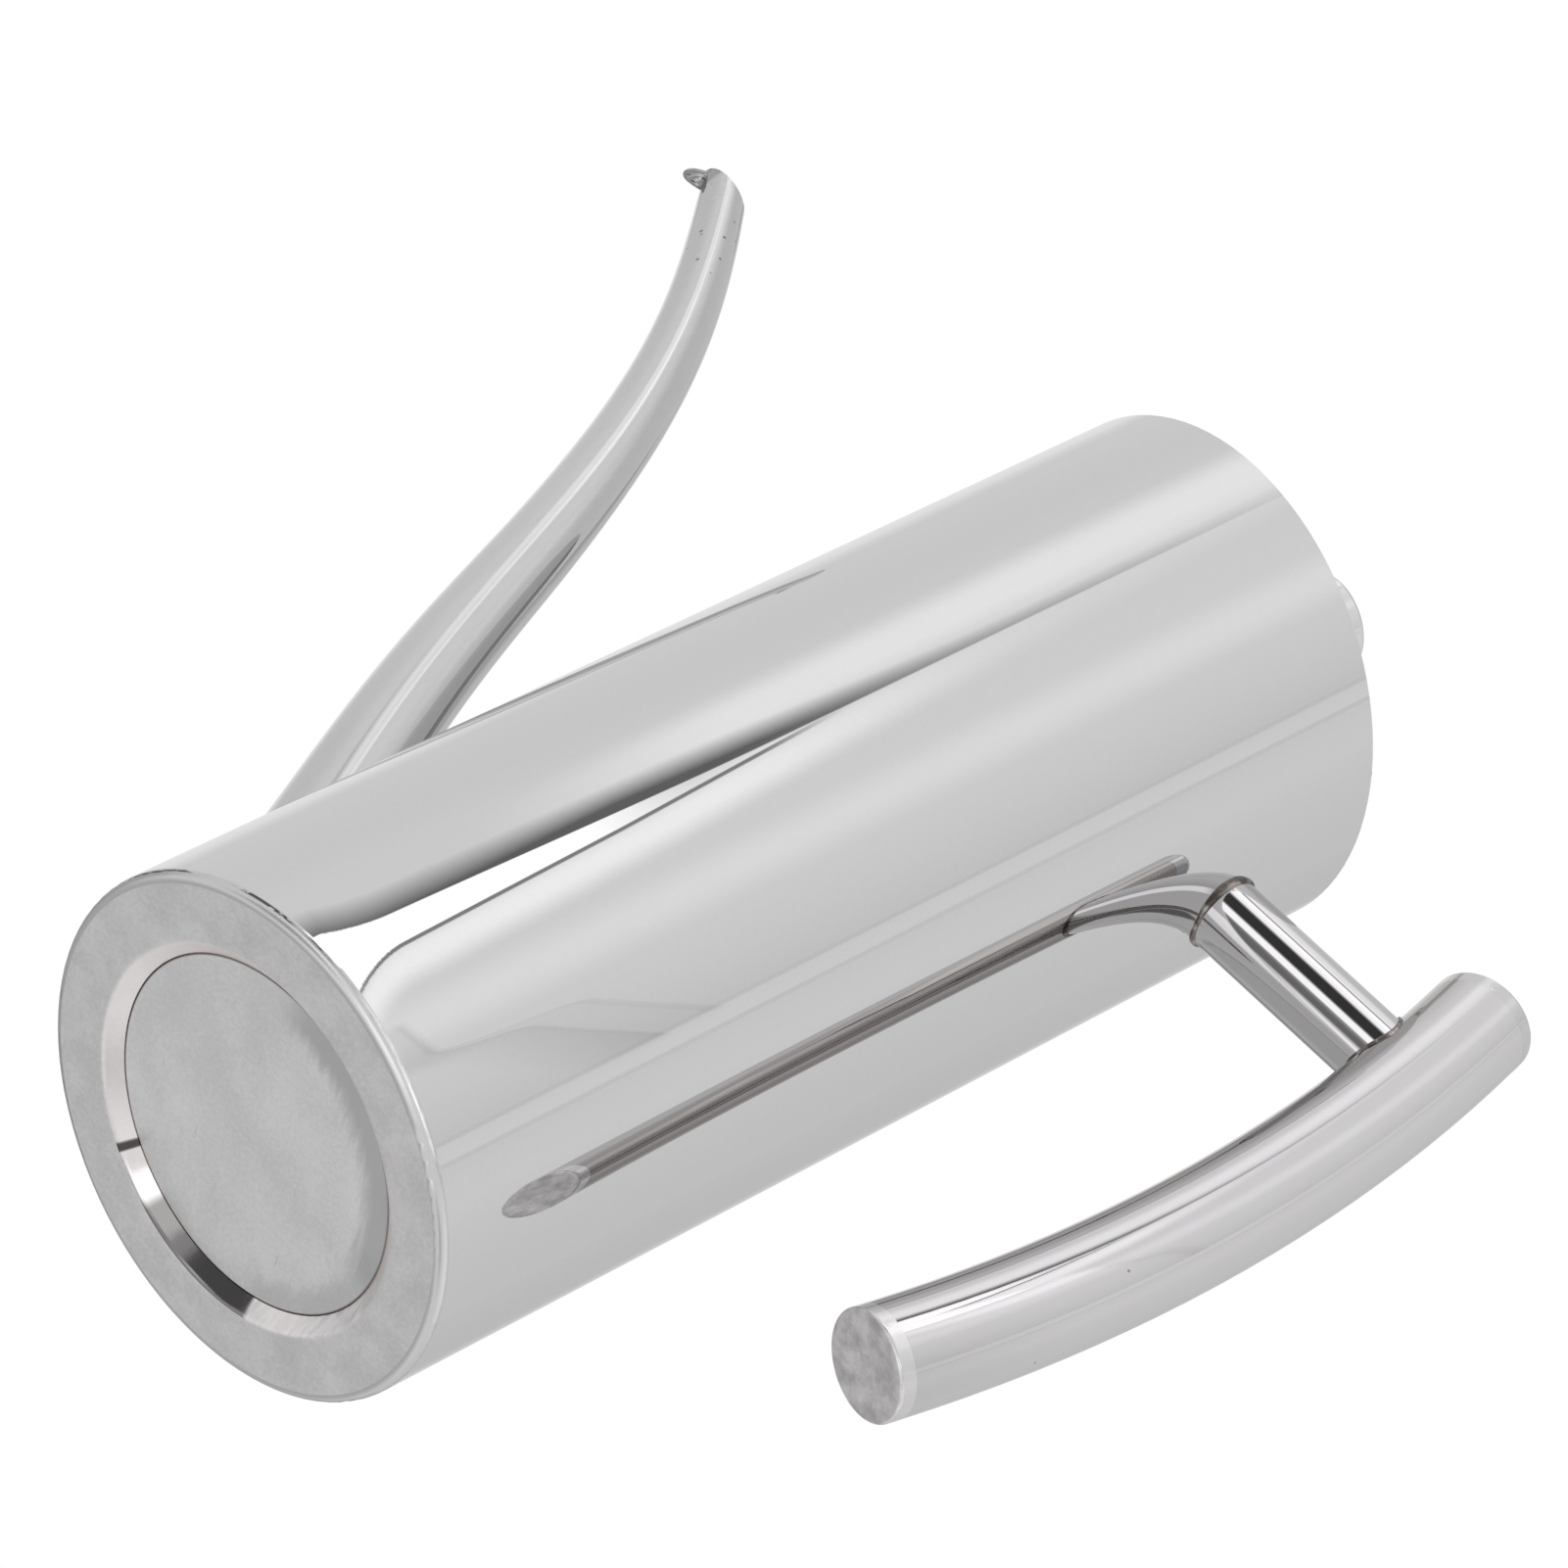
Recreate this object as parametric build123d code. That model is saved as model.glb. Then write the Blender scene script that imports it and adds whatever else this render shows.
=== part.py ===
from build123d import *
from math import asin, atan2, cos, degrees, hypot, pi, radians, sin, sqrt
import os

# Oil can of polished stainless steel: a tall round body with a sloping top, a gooseneck spout,
# a bowed bar handle on one post, and a hinged filler lid with a turned knob.
# Millimetres. The origin is the centre of the resting face. +Z is up, the spout points to -X
# and the handle to +X, so the XZ plane is the plane of symmetry.

# Body
body_radius = 37.5
body_height = 184.8          # on the axis, from the resting face to the sloping deck
body_wall = 0.8
bottom_corner = 1.5          # outer radius where the wall is spun in under the base
top_slope = 6.6              # degrees, the deck falls towards the handle

# Base
ring_inner_radius = 28.4     # inner edge of the flat that the can stands on
ring_bend_radius = 1.5       # where the flat turns up into the step
disc_radius = 25.6
recess_depth = 2.0
base_sheet = 1.2
disc_seam = 0.05             # gap of the joint line round the disc
disc_edge_break = 0.2

# Spout
spout_root_radius = 7.9       # at the inner end of the centre line, inside the body
spout_tip_radius = 3.4       # at its outer end
spout_wall = 0.8
spout_sections = 11
spout_line = [(-26.0, 19.6), (-39.6, 49.7), (-55.7, 86.1), (-63.4, 106.9), (-75.5, 137.4),
              (-90.0, 165.2), (-109.8, 192.4), (-114.8, 198.6)]
mouth_height = 192.3         # the mouth is cut here, on the centre line
spout_trim = 6.3             # the drawn tube runs this far above the mouth before it is cut
mouth_tilt = 5.0             # degrees, the front of the mouth is a little higher than the back
lip_half_angle = 27.0        # drip lip: how far it runs to each side of the front of the mouth
lip_reach = 5.9              # centre of its roll in front of the middle of the mouth
lip_drop = 1.5               # and below it
lip_radius = 1.1             # of the roll at the front
lip_end_radius = 0.45
lip_end_reach = 3.6
lip_end_drop = 0.3
lip_shares = (-1, -0.5, 0, 0.5, 1)   # where the lip's sections lie, from end to end
lip_web_inset = 1.6          # middle of the web between the roll and the wall, behind the roll
lip_web_length = 1.7
lip_web_height = 1.45
spout_weld_size = 0.6
centre_line_tries = 40        # halvings in the search for a height on the centre line

# Handle
bar_radius = 8.0
bar_wall = 1.0
bar_bow_radius = 307.5       # radius of the bow, on the centre line of the bar
bar_reach = 78.7             # body axis to the centre of the bar at its furthest
bar_middle = 106.7           # height of the furthest point of the bow
bar_bottom = 46.8            # height of the centre of the lower end face
bar_top = 171.2              # height of the centre of the upper end face
cap_thickness = 2.5
cap_edge = 0.5
cap_dish_radius = 6.9        # hollow left by the punch in the face of each cap
cap_dish_depth = 0.5
post_radius = 5.7
post_wall = 1.0
post_height = 152.5
post_weld_size = 0.4
bar_weld_size = 0.35
cut_margin = 1.0             # how far a cut through the post runs past its ends

# Deck and filler collar. Heights from here on are measured square to the sloping deck.
deck_thickness = 0.8
filler_inset = 16.8          # clear opening, in from the body's outer radius
collar_wall = 0.8
collar_height = 3.3
collar_below = 2.0           # how far the collar reaches under the deck

# Lid
lid_sheet = 0.8
lid_overhang = 3.8           # edge of the lid outside the clear opening
lid_edge_radius = 1.5
lid_skirt_gap = 0.4          # below the skirt, above the deck
seal_gap = 0.3               # between the seal and the collar's rolled rim
seal_thickness = 1.2
seal_width = 3.2
seal_side_gap = 0.8          # between the seal and the skirt
dome_foot_inset = 9.8        # foot of the dome, in from the edge of the lid
dome_top_radius = 6.5
dome_rise = 3.6
vent_radius = 0.75

# Knob and its screw
knob_radius = 8.0
knob_foot_radius = 6.0
knob_foot_height = 0.8
knob_waist_radius = 4.8
knob_waist_height = 3.4
knob_shoulder_height = 7.0
knob_height = 17.0
knob_edge = 1.0
knob_thread_depth = 9.0
screw_radius = 1.95
screw_clearance = 0.05
screw_hole_radius = 2.1
screw_head_radius = 3.6
screw_head_height = 2.2
screw_head_round = 0.7
screw_end_gap = 3.9          # left between the screw's end and the bottom of its hole
screw_slot_width = 1.0
screw_slot_depth = 1.0
washer_radius = 4.6
washer_thickness = 0.8

# Hinge
hinge_inset = 7.7            # axis of the pin, in from the body's outer radius
pin_radius = 1.0
pin_running_gap = 0.06
pin_fit_gap = 0.02
pin_head_radius = 1.7
pin_head_thickness = 0.7
knuckle_radius = 2.3
knuckle_length = 9.0
ear_thickness = 1.2
ear_side_gap = 0.3
ear_radius = 2.6
bracket_sheet = 0.8
bracket_toe = 0.9            # how far the foot of the bracket reaches in front of the ears
leaf_sheet = 0.8
leaf_width = 8.0
leaf_tip_gap = 0.7           # between the leaf's inner end and the foot of the dome
leaf_corner = 2.0
stop_gap = 0.3               # left under the stop nib when it points straight down
stop_thickness = 1.2
stop_width = 4.0
rivet_radius = 0.9
rivet_head_radius = 1.4
rivet_head_height = 0.7
rivet_head_round = 0.42
rivet_tail_radius = 1.3
rivet_tail_height = 0.6
rivet_edge = 2.1             # rivets in from the leaf's inner end
rivet_spacing = 4.8

# Sizes that follow from the ones above
inner_radius = body_radius - body_wall
seam_radius = body_radius - bottom_corner
spout_reach = mouth_height   # longer than any cut through the can needs
filler_radius = body_radius - filler_inset
lid_radius = filler_radius + lid_overhang
dome_foot_radius = lid_radius - dome_foot_inset
hinge_offset = body_radius - hinge_inset
leaf_tip_offset = dome_foot_radius + leaf_tip_gap
rivet_offset = leaf_tip_offset + rivet_edge
vent_offset = (dome_foot_radius + dome_top_radius) / 2
collar_radius = filler_radius + collar_wall
collar_roll = collar_wall
seal_bottom = collar_height + seal_gap
plate_bottom = seal_bottom + seal_thickness
plate_top = plate_bottom + lid_sheet
skirt_inner = lid_radius - lid_sheet
dome_top = plate_top + dome_rise
hinge_height = plate_top + leaf_sheet - knuckle_radius
stop_reach = hinge_height - bracket_sheet - stop_gap
ear_inner = knuckle_length / 2 + ear_side_gap
ear_outer = ear_inner + ear_thickness

slope = radians(top_slope)
deck_middle = (0, 0, body_height)
deck = Plane(origin=deck_middle, x_dir=(cos(slope), 0, -sin(slope)), z_dir=(sin(slope), 0, cos(slope)))


def turned(edges):
    """Solid of revolution about Z from edges drawn as (radius, height)."""
    return revolve(Plane.XZ * make_face(edges), Axis.Z)


def ring(outer, inner, low, high):
    """Round ring, or a disc when the inner radius is zero, between two heights."""
    blank = Pos(0, 0, low) * Cylinder(outer, high - low, align=(Align.CENTER, Align.CENTER, Align.MIN))
    if inner <= 0:
        return blank
    bore = Pos(0, 0, low) * Cylinder(inner, high - low, align=(Align.CENTER, Align.CENTER, Align.MIN))
    return blank - bore


def on_deck(shape):
    """Move a shape drawn on the level deck to the sloping deck."""
    return deck.location * shape


def across(radius, length, x=0.0, z=0.0, y=0.0):
    """Round bar lying along Y, centred on (x, y, z)."""
    return Pos(x, y, z) * Rot(90, 0, 0) * Cylinder(radius, length)


def along_post(radius, start, end):
    """Round bar lying along X at the height of the handle post."""
    return Pos((start + end) / 2, 0, post_height) * Rot(0, 90, 0) * Cylinder(radius, end - start)


# Spout: circles on a planar curve, each square to it, lofted into one smooth taper.
# The line is stretched upwards so that it ends the trim above the mouth.
spout_stretch = (mouth_height + spout_trim) / spout_line[-1][1]
spout_path = Spline(*[(x, 0, z * spout_stretch) for x, z in spout_line])


def spout_solid(offset):
    """Tapered solid round the spout's centre line, at an offset from its outer skin."""
    sections = []
    for i in range(spout_sections):
        t = i / (spout_sections - 1)
        radius = spout_root_radius + (spout_tip_radius - spout_root_radius) * t
        place = Plane(origin=spout_path @ t, x_dir=(0, 1, 0), z_dir=spout_path % t)
        sections.append(place * Circle(radius + offset))
    return loft(sections)


def spout_centre(height):
    """X of the spout's centre line at a height above its middle."""
    low = 0.5
    high = 1.0
    for _ in range(centre_line_tries):
        middle = (low + high) / 2
        if (spout_path @ middle).Z < height:
            low = middle
        else:
            high = middle
    return (spout_path @ low).X


spout_skin = spout_solid(0)
spout_bore = spout_solid(-spout_wall)
body_blank = ring(body_radius, 0, 0, body_height + body_radius)
mouth_x = spout_centre(mouth_height)
mouth_lean = radians(mouth_tilt)
mouth = Plane(origin=(mouth_x, 0, mouth_height), z_dir=(sin(mouth_lean), 0, cos(mouth_lean)))


def lip_place(share):
    """Upright plane across the drip lip, at a share of the way from the front to one of its ends."""
    turn = radians(180 + share * lip_half_angle)
    middle = (mouth_x, 0, mouth_height)
    return Plane(origin=middle, x_dir=(cos(turn), sin(turn), 0), z_dir=(sin(turn), -cos(turn), 0))


def make_drip_lip():
    """Pulled and rolled lip at the front of the mouth: a bead that swells at the front, and its web."""
    beads = []
    webs = []
    for share in lip_shares:
        swell = cos(share * pi / 2)
        reach = lip_end_reach + (lip_reach - lip_end_reach) * swell**2
        drop = lip_end_drop + (lip_drop - lip_end_drop) * swell**2
        radius = lip_end_radius + (lip_radius - lip_end_radius) * swell**2
        beads.append(lip_place(share) * Pos(reach, -drop) * Circle(radius))
        length = lip_end_radius + (lip_web_length - lip_end_radius) * swell
        height = lip_end_radius + (lip_web_height - lip_end_radius) * swell
        middle = Pos(reach - lip_web_inset * swell, height - radius - drop)
        webs.append(lip_place(share) * middle * Ellipse(length, height))
    return loft(beads) + loft(webs)


def make_spout_tube():
    """Gooseneck tube: saddle cut on the body, a mouth cut nearly level, and a drip lip in front."""
    above = mouth.location * Box(
        spout_reach, spout_reach, spout_reach, align=(Align.CENTER, Align.CENTER, Align.MIN)
    )
    return spout_skin + (make_drip_lip() - above) - spout_bore - body_blank - above


def make_spout_weld():
    """Thin ground bead round the foot of the spout."""
    bead = spout_solid(spout_weld_size) & ring(body_radius + spout_weld_size, 0, 0, body_height)
    return bead - spout_skin - body_blank


def make_body_shell():
    """Rolled tube, spun in at the bottom, cut on the slope at the top and pierced behind the spout."""
    inner_corner = bottom_corner - body_wall
    tall = body_height + body_radius
    outline = [
        Line((seam_radius, 0), (seam_radius, body_wall)),
        RadiusArc((seam_radius, body_wall), (inner_radius, bottom_corner), -inner_corner),
        Line((inner_radius, bottom_corner), (inner_radius, tall)),
        Line((inner_radius, tall), (body_radius, tall)),
        Line((body_radius, tall), (body_radius, bottom_corner)),
        RadiusArc((body_radius, bottom_corner), (seam_radius, 0), bottom_corner),
    ]
    shell = turned(outline)
    width = 4 * body_radius
    above = Box(width, width, 2 * body_radius, align=(Align.CENTER, Align.CENTER, Align.MIN))
    return shell - on_deck(above) - spout_bore


def make_base_ring():
    """Pressed ring that the can stands on, bent up into the sloping step round the disc."""
    top = recess_depth + base_sheet
    step_width = ring_inner_radius - disc_radius
    bend_above = ring_bend_radius - recess_depth
    to_bend = hypot(step_width, bend_above)
    step_angle = asin(ring_bend_radius / to_bend) - atan2(bend_above, step_width)
    step_length = sqrt(to_bend**2 - ring_bend_radius**2)
    bend_end = (disc_radius + step_length * cos(step_angle), recess_depth - step_length * sin(step_angle))
    outline = Polyline(
        (ring_inner_radius, 0),
        (seam_radius, 0),
        (seam_radius, base_sheet),
        (ring_inner_radius + base_sheet / 2, base_sheet),
        (disc_radius + base_sheet / 2, top),
        (disc_radius, top),
        (disc_radius, recess_depth),
        bend_end,
    )
    return turned([outline, TangentArc((ring_inner_radius, 0), bend_end, tangent=(-1, 0))])


def make_base_disc():
    """Flat disc let into the ring, its edge broken so that the joint shows as a fine line."""
    edge = disc_radius - disc_seam
    disc = ring(edge, 0, recess_depth, recess_depth + base_sheet)
    return chamfer(disc.edges().group_by(Axis.Z)[0], disc_edge_break)


def bar_angle(height):
    """Angle on the bow, in degrees, of the point of the bar's centre line at a height."""
    return degrees(asin((height - bar_middle) / bar_bow_radius))


def bar_plane(height):
    """Plane square to the bar, facing up along it, at a height of its centre line."""
    angle = radians(bar_angle(height))
    bow_centre = bar_reach - bar_bow_radius
    origin = (bow_centre + bar_bow_radius * cos(angle), 0, height)
    return Plane(origin=origin, x_dir=(cos(angle), 0, sin(angle)), z_dir=(-sin(angle), 0, cos(angle)))


def bowed_bar(radius, low, high):
    """Round bar that follows the bow between two heights."""
    axis = Axis((bar_reach - bar_bow_radius, 0, bar_middle), (0, -1, 0))
    start = bar_plane(low) * Circle(radius)
    return revolve(start, axis, bar_angle(high) - bar_angle(low))


def upper_end():
    return bar_plane(bar_top).location


def lower_end():
    end = bar_plane(bar_bottom)
    return Plane(origin=end.origin, x_dir=end.x_dir, z_dir=-end.z_dir).location


bar_skin = bowed_bar(bar_radius, bar_bottom, bar_top)
post_end = bar_plane(post_height).origin.X


def make_handle_bar():
    """Bowed tube between its two end caps."""
    tube = bar_skin - bowed_bar(bar_radius - bar_wall, bar_bottom, bar_top)
    for end in (lower_end(), upper_end()):
        tube -= end * ring(2 * bar_radius, 0, -cap_thickness, bar_radius)
    return tube


def make_cap():
    """Round end cap, drawn with its outer face up at zero height."""
    cap = ring(bar_radius, 0, -cap_thickness, 0)
    cap = fillet(cap.edges().group_by(Axis.Z)[-1], cap_edge)
    punch_radius = (cap_dish_radius**2 + cap_dish_depth**2) / (2 * cap_dish_depth)
    return cap - Pos(0, 0, punch_radius - cap_dish_depth) * Sphere(punch_radius)


def make_handle_cap_upper():
    return upper_end() * make_cap()


def make_handle_cap_lower():
    return lower_end() * make_cap()


def make_handle_post():
    """Straight tube, saddle cut on the body at one end and on the bar at the other."""
    bore = along_post(post_radius - post_wall, -cut_margin, post_end + cut_margin)
    return along_post(post_radius, 0, post_end) - bore - body_blank - bar_skin


def make_post_weld():
    """Rounded bead between the post and the body."""
    outer = post_radius + post_weld_size
    foot = body_radius - body_wall
    crest = body_radius + post_weld_size
    outline = [
        Line((post_radius, foot), (outer, foot)),
        Line((outer, foot), (outer, body_radius)),
        RadiusArc((outer, body_radius), (post_radius, crest), -post_weld_size),
        Line((post_radius, crest), (post_radius, foot)),
    ]
    bead = Pos(0, 0, post_height) * Rot(0, 90, 0) * turned(outline)
    return bead - body_blank


def make_bar_weld():
    """Thin bead that follows the saddle between the post and the bar."""
    start = body_radius + post_weld_size
    sleeve = along_post(post_radius + bar_weld_size, start, post_end)
    sleeve -= along_post(post_radius, 0, post_end + cut_margin)
    near_bar = bowed_bar(bar_radius + bar_weld_size, post_height - 2 * bar_radius, bar_top)
    return (sleeve & near_bar) - bar_skin


def make_top_deck():
    """Sloping plate that closes the body, with the round filler opening."""
    plate = on_deck(ring(2 * body_radius, collar_radius, -deck_thickness, 0))
    return plate & ring(inner_radius, 0, 0, body_height + body_radius)


def make_filler_collar():
    """Short collar welded into the deck, its rim rolled outwards."""
    wall = Pos(filler_radius, -collar_below) * Rectangle(
        collar_wall, collar_below + collar_height - collar_roll, align=(Align.MIN, Align.MIN)
    )
    roll = Pos(collar_radius, collar_height - collar_roll) * Circle(collar_roll)
    return on_deck(revolve(Plane.XZ * (wall + roll), Axis.Z))


def make_lid_cap():
    """Pressed lid: skirt, flat rim, raised dome with a level seat for the knob, and a vent hole."""
    inner_edge = lid_edge_radius - lid_sheet
    rim = lid_radius - lid_edge_radius
    outline = [
        Line((screw_hole_radius, dome_top - lid_sheet), (screw_hole_radius, dome_top)),
        Line((screw_hole_radius, dome_top), (dome_top_radius, dome_top)),
        Line((dome_top_radius, dome_top), (dome_foot_radius, plate_top)),
        Line((dome_foot_radius, plate_top), (rim, plate_top)),
        RadiusArc((rim, plate_top), (lid_radius, plate_top - lid_edge_radius), lid_edge_radius),
        Line((lid_radius, plate_top - lid_edge_radius), (lid_radius, lid_skirt_gap)),
        Line((lid_radius, lid_skirt_gap), (skirt_inner, lid_skirt_gap)),
        Line((skirt_inner, lid_skirt_gap), (skirt_inner, plate_bottom - inner_edge)),
        RadiusArc(
            (skirt_inner, plate_bottom - inner_edge), (skirt_inner - inner_edge, plate_bottom), -inner_edge
        ),
        Line((skirt_inner - inner_edge, plate_bottom), (dome_foot_radius, plate_bottom)),
        Line((dome_foot_radius, plate_bottom), (dome_top_radius, dome_top - lid_sheet)),
        Line((dome_top_radius, dome_top - lid_sheet), (screw_hole_radius, dome_top - lid_sheet)),
    ]
    lid = turned(outline)
    lid -= Pos(-vent_offset, 0, 0) * ring(vent_radius, 0, 0, dome_top + lid_sheet)
    for hole in rivet_places():
        lid -= hole * ring(rivet_radius + pin_fit_gap, 0, 0, dome_top)
    return on_deck(lid)


def make_lid_seal():
    """Flat silicone ring under the lid that closes on the collar's rim."""
    outer = skirt_inner - seal_side_gap
    return on_deck(ring(outer, outer - seal_width, seal_bottom, plate_bottom))


def make_knob():
    """Turned knob: small foot, drawn-in waist and a straight head with a rounded edge."""
    top = dome_top + knob_height
    outline = [
        Line((0, dome_top), (knob_foot_radius, dome_top)),
        Line((knob_foot_radius, dome_top), (knob_foot_radius, dome_top + knob_foot_height)),
        Spline(
            (knob_foot_radius, dome_top + knob_foot_height),
            (knob_waist_radius, dome_top + knob_waist_height),
            (knob_radius, dome_top + knob_shoulder_height),
        ),
        Line((knob_radius, dome_top + knob_shoulder_height), (knob_radius, top - knob_edge)),
        RadiusArc((knob_radius, top - knob_edge), (knob_radius - knob_edge, top), -knob_edge),
        Line((knob_radius - knob_edge, top), (0, top)),
        Line((0, top), (0, dome_top)),
    ]
    knob = turned(outline) - ring(screw_radius + screw_clearance, 0, 0, dome_top + knob_thread_depth)
    return on_deck(knob)


washer_bottom = dome_top - lid_sheet - washer_thickness


def make_knob_washer():
    return on_deck(ring(washer_radius, screw_hole_radius, washer_bottom, dome_top - lid_sheet))


def make_knob_screw():
    """Pan head screw that holds the knob from inside the lid."""
    head = ring(screw_head_radius, 0, washer_bottom - screw_head_height, washer_bottom)
    head = fillet(head.edges().group_by(Axis.Z)[0], screw_head_round)
    slot = Pos(0, 0, washer_bottom - screw_head_height) * Box(
        3 * screw_head_radius, screw_slot_width, 2 * screw_slot_depth
    )
    shank_top = dome_top + knob_thread_depth - screw_end_gap
    return on_deck(head - slot + ring(screw_radius, 0, washer_bottom, shank_top))


def make_hinge_bracket():
    """Folded bracket on the deck with two ears for the pin."""
    toe = hinge_offset - ear_radius - bracket_toe
    heel = hinge_offset + ear_radius
    foot = Pos((toe + heel) / 2, 0, 0) * Box(
        heel - toe, 2 * ear_outer, bracket_sheet, align=(Align.CENTER, Align.CENTER, Align.MIN)
    )
    middle = (ear_inner + ear_outer) / 2
    for side in (-1, 1):
        web = Pos(hinge_offset, side * middle, 0) * Box(
            2 * ear_radius, ear_thickness, hinge_height, align=(Align.CENTER, Align.CENTER, Align.MIN)
        )
        foot = foot + web + across(ear_radius, ear_thickness, hinge_offset, hinge_height, side * middle)
    return on_deck(foot - across(pin_radius + pin_fit_gap, 4 * ear_outer, hinge_offset, hinge_height))


def make_hinge_pin():
    """Plain pin with both ends headed over."""
    pin = across(pin_radius, 2 * (ear_outer + pin_fit_gap), hinge_offset, hinge_height)
    for side in (-1, 1):
        middle = side * (ear_outer + pin_fit_gap + pin_head_thickness / 2)
        pin += across(pin_head_radius, pin_head_thickness, hinge_offset, hinge_height, middle)
    return on_deck(pin)


def rivet_places():
    return [Pos(rivet_offset, side * rivet_spacing / 2, 0) for side in (-1, 1)]


def make_hinge_leaf():
    """Leaf riveted to the lid, rolled round the pin, with a nib that stops the lid when open."""
    length = hinge_offset - leaf_tip_offset
    strap = Pos(leaf_tip_offset, 0, plate_top) * Box(
        length, leaf_width, leaf_sheet, align=(Align.MIN, Align.CENTER, Align.MIN)
    )
    strap = fillet(strap.edges().filter_by(Axis.Z).group_by(Axis.X)[0], leaf_corner)
    for hole in rivet_places():
        strap -= hole * ring(rivet_radius + pin_fit_gap, 0, 0, dome_top)
    nib = Pos(hinge_offset, 0, hinge_height) * Box(
        stop_reach, stop_width, stop_thickness, align=(Align.MIN, Align.CENTER, Align.CENTER)
    )
    leaf = strap + across(knuckle_radius, knuckle_length, hinge_offset, hinge_height) + nib
    bore = across(pin_radius + pin_running_gap, 2 * knuckle_length, hinge_offset, hinge_height)
    return on_deck(leaf - bore)


def make_leaf_rivets():
    """Two rivets through the leaf and the lid, as separate solids."""
    leaf_top = plate_top + leaf_sheet
    rivets = []
    for place in rivet_places():
        head = ring(rivet_head_radius, 0, leaf_top, leaf_top + rivet_head_height)
        head = fillet(head.edges().group_by(Axis.Z)[-1], rivet_head_round)
        shank = ring(rivet_radius, 0, plate_bottom - rivet_tail_height, leaf_top)
        tail = ring(rivet_tail_radius, 0, plate_bottom - rivet_tail_height, plate_bottom)
        rivets.append(on_deck(place * (head + shank + tail)))
    return Compound(children=rivets)


pieces = {
    "body_shell": make_body_shell,
    "base_ring": make_base_ring,
    "base_disc": make_base_disc,
    "spout_tube": make_spout_tube,
    "spout_weld": make_spout_weld,
    "handle_post": make_handle_post,
    "post_weld": make_post_weld,
    "handle_bar": make_handle_bar,
    "bar_weld": make_bar_weld,
    "handle_cap_upper": make_handle_cap_upper,
    "handle_cap_lower": make_handle_cap_lower,
    "top_deck": make_top_deck,
    "filler_collar": make_filler_collar,
    "hinge_bracket": make_hinge_bracket,
    "hinge_pin": make_hinge_pin,
    "hinge_leaf": make_hinge_leaf,
    "leaf_rivets": make_leaf_rivets,
    "lid_cap": make_lid_cap,
    "lid_seal": make_lid_seal,
    "knob": make_knob,
    "knob_washer": make_knob_washer,
    "knob_screw": make_knob_screw,
}

os.makedirs("parts", exist_ok=True)
for name, make in pieces.items():
    export_step(make(), f"parts/{name}.step")
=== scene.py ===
import math

import bpy
import numpy
from mathutils import Matrix

# The polished stainless oil can, as it was rolled, welded and rubbed in the workshop.
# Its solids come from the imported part. Lengths inside the finishes are in millimetres.
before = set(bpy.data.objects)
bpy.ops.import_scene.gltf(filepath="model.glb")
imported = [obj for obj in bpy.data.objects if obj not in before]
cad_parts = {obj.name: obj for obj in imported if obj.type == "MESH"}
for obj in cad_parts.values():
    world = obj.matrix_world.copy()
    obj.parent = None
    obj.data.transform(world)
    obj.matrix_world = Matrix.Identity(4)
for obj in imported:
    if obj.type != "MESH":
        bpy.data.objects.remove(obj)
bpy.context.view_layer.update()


# Body shell: a rolled and welded tube of thin stainless sheet, spun in under the base and
# mirror polished. The wheel ran round the can, so its fine hairs do as well. The spun edge was
# linished with the base, which left it satin, with a ragged border and a few nicks.
class Wire:
    """An output of a node. Sums, products and powers of it add Math nodes."""

    def __init__(self, sheet, socket):
        self.sheet = sheet
        self.socket = socket

    def maths(self, operation, *values):
        return self.sheet.add("ShaderNodeMath", {"operation": operation}, dict(enumerate(values)))

    def __add__(self, other):
        return self.maths("ADD", self, other)

    def __radd__(self, other):
        return self.maths("ADD", other, self)

    def __sub__(self, other):
        return self.maths("SUBTRACT", self, other)

    def __rsub__(self, other):
        return self.maths("SUBTRACT", other, self)

    def __mul__(self, other):
        return self.maths("MULTIPLY", self, other)

    def __rmul__(self, other):
        return self.maths("MULTIPLY", other, self)

    def __truediv__(self, other):
        return self.maths("DIVIDE", self, other)

    def __rtruediv__(self, other):
        return self.maths("DIVIDE", other, self)

    def __pow__(self, other):
        return self.maths("POWER", self, other)

    def __rpow__(self, other):
        return self.maths("POWER", other, self)

    def at_least(self, lowest):
        return self.maths("MAXIMUM", self, lowest)

    def unsigned(self):
        """The value without its sign."""
        return self.maths("ABSOLUTE", self)

    def between(self, low, high):
        """Rises smoothly from 0 at low to 1 at high."""
        sockets = {0: self, 1: low, 2: high, 3: 0.0, 4: 1.0}
        return self.sheet.add("ShaderNodeMapRange", {"interpolation_type": "SMOOTHSTEP"}, sockets)

    def near(self, centre, half, soft):
        """1 within half of a value, fading to 0 over the soft margin beyond it."""
        return 1 - (self - centre).unsigned().between(half, half + soft)

    def facing(self, centre, half, soft):
        """The same for a compass angle in degrees, which closes on itself."""
        off = self.maths("WRAP", self - centre, 180, -180)
        return off.near(0, half, soft)

    def other(self, name):
        """Another output of the same node."""
        return Wire(self.sheet, self.socket.node.outputs[name])


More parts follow.
